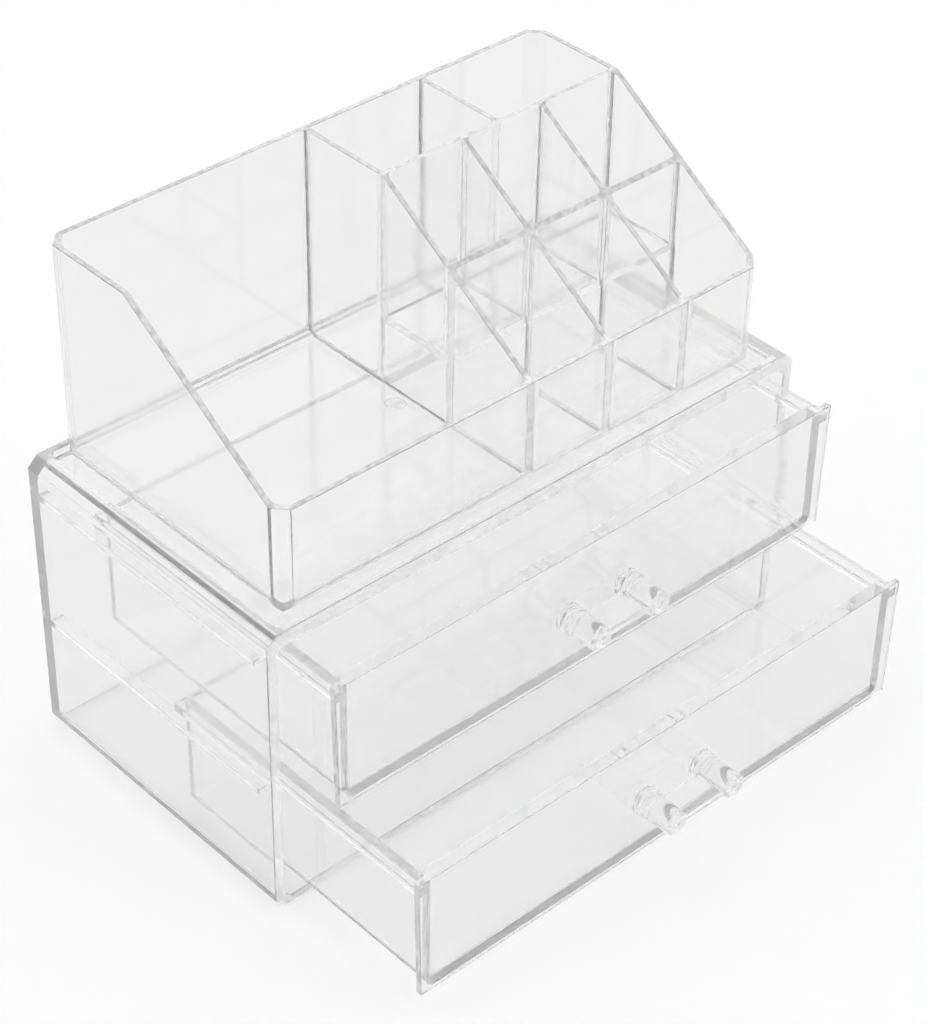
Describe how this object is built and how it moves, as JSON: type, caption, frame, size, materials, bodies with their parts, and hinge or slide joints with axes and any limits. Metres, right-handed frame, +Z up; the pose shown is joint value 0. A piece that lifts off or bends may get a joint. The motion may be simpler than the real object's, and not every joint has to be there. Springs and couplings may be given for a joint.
{
  "type": "makeup organizer",
  "caption": "Clear plastic two-drawer cosmetics box with a sloping divided tray that lifts off its top.",
  "frame": {"origin": "centre of the case's underside, where the box stands on its surface", "axes": "+X to the right along the width, -Y towards the drawers' front, +Z up"},
  "size_m": [0.24, 0.2078, 0.2004],
  "materials": {
    "case_plastic": "clear polystyrene, polished moulding",
    "tray_plastic": "clear polystyrene, polished moulding",
    "drawer_plastic": "clear polystyrene, polished moulding",
    "handle_plastic": "clear polystyrene, polished moulding"
  },
  "bodies": {
    "case": {"case_shell": "case_plastic"},
    "upper_drawer": {"upper_drawer_box": "drawer_plastic", "upper_drawer_handle": "handle_plastic"},
    "lower_drawer": {"lower_drawer_box": "drawer_plastic", "lower_drawer_handle": "handle_plastic"},
    "tray": {"organizer_tray": "tray_plastic"}
  },
  "joints": [
    {"name": "upper_drawer_slide", "type": "slide", "parent": "case", "child": "upper_drawer", "axis": [0, -1, 0], "range_m": [-0.0248, 0.0752]},
    {"name": "lower_drawer_slide", "type": "slide", "parent": "case", "child": "lower_drawer", "axis": [0, -1, 0], "range_m": [-0.0638, 0.0362]},
    {"name": "tray_lift", "type": "slide", "parent": "case", "child": "tray", "axis": [0, 0, 1], "range_m": [0, 0.04]}
  ]
}
